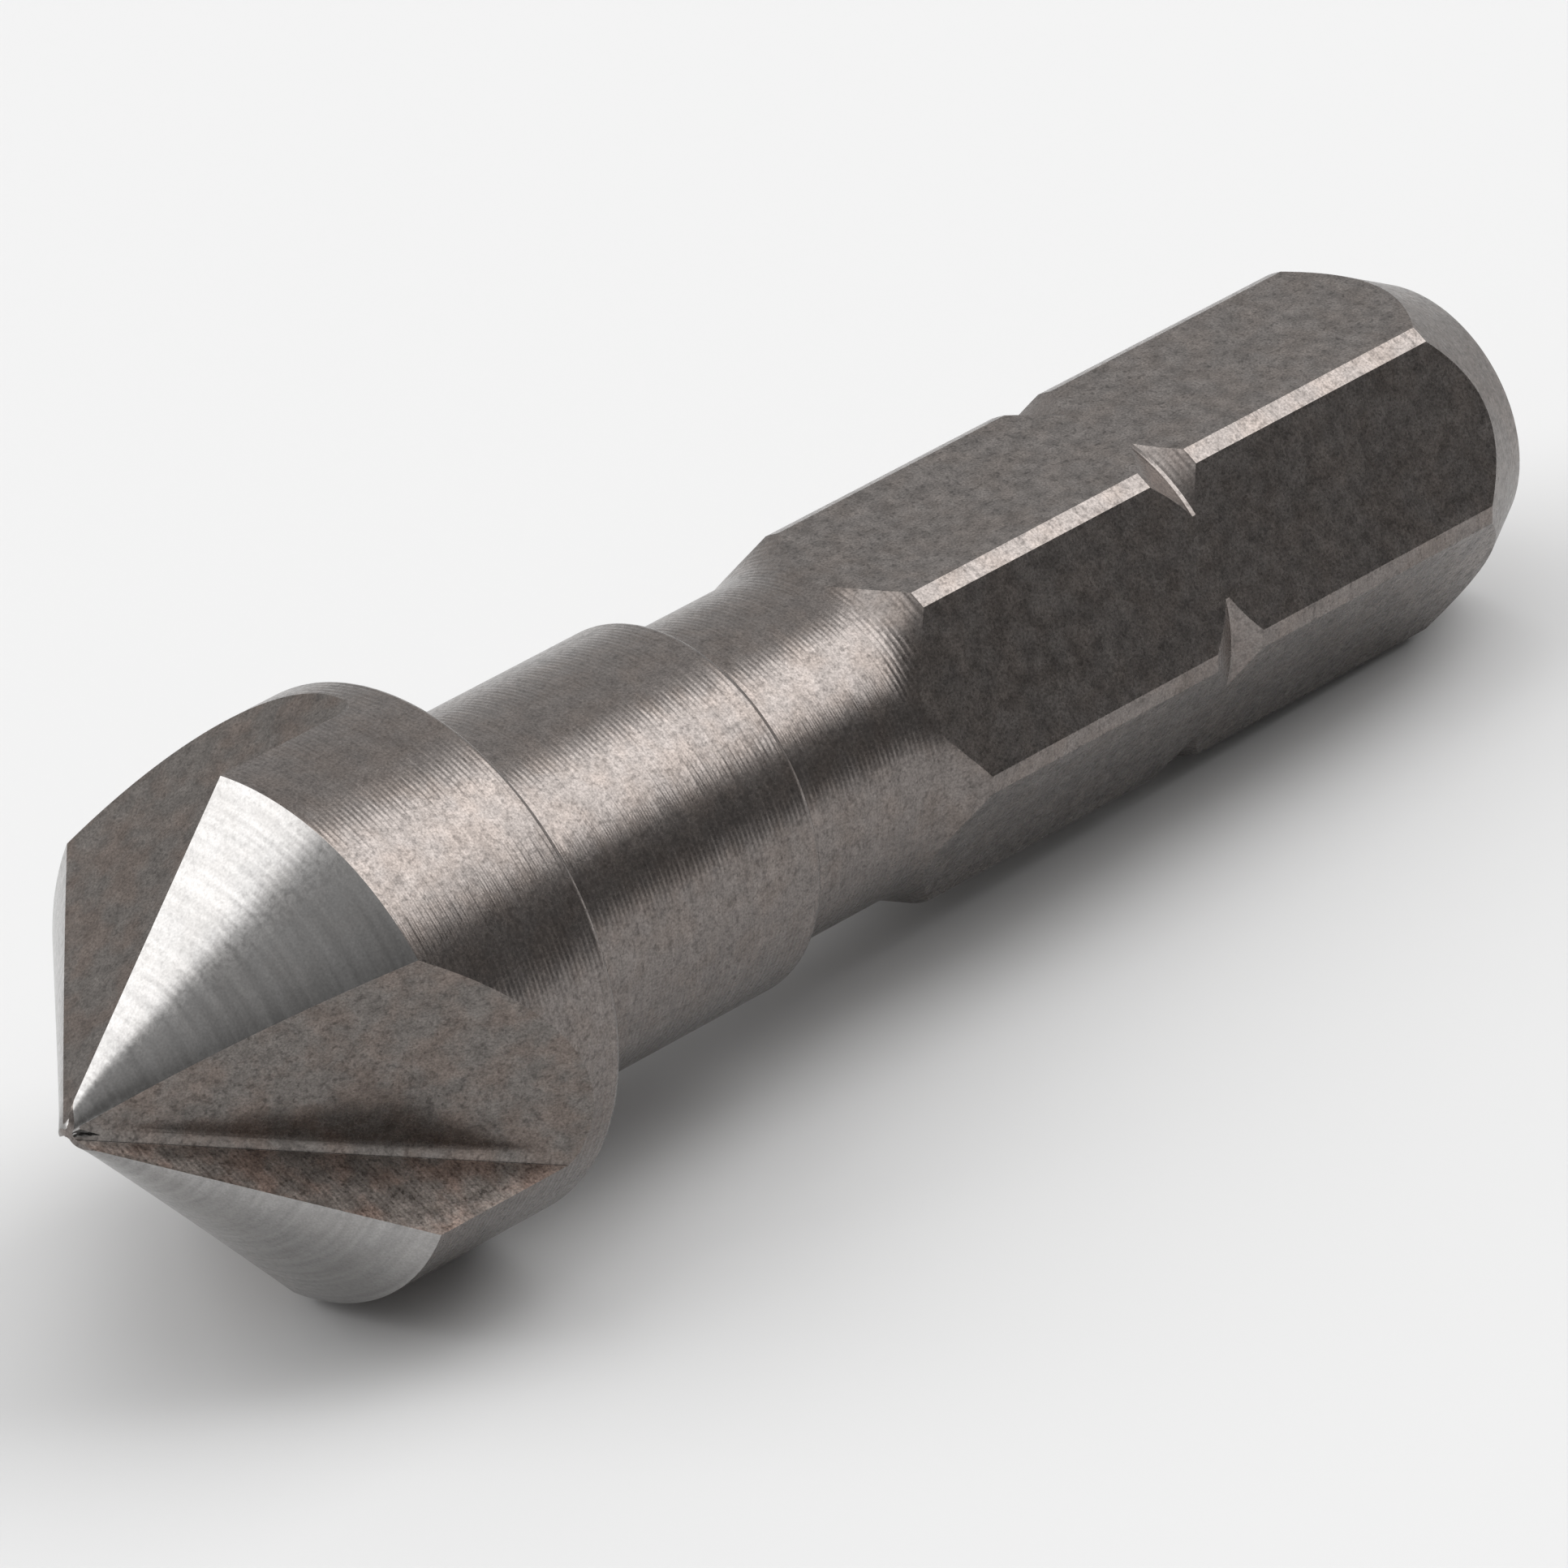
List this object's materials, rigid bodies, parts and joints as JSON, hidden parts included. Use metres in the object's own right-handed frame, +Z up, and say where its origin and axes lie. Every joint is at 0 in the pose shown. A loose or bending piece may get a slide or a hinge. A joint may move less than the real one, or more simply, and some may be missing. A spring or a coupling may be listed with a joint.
{
  "type": "countersink bit",
  "caption": "One-piece steel countersink bit: fluted cutting cone, round collar, slim neck and notched hexagon drive shank, lying on its side.",
  "frame": {"origin": "centre of the bounding box in plan, on the surface it lies on", "axes": "+Z up; +X from the cutting point towards the shank end, level; the tool axis dips 4.25 degrees towards the shank end because the bit lies on the rim of its head and on the end of its lower flat; +Y to the left when looking from the point to the shank end"},
  "size_m": [0.0342, 0.01, 0.0103],
  "materials": {
    "tool_steel": "dark warm-grey tool steel, finely ground and turned, satin"
  },
  "bodies": {
    "root": {"countersink_bit": "tool_steel"}
  },
  "joints": []
}
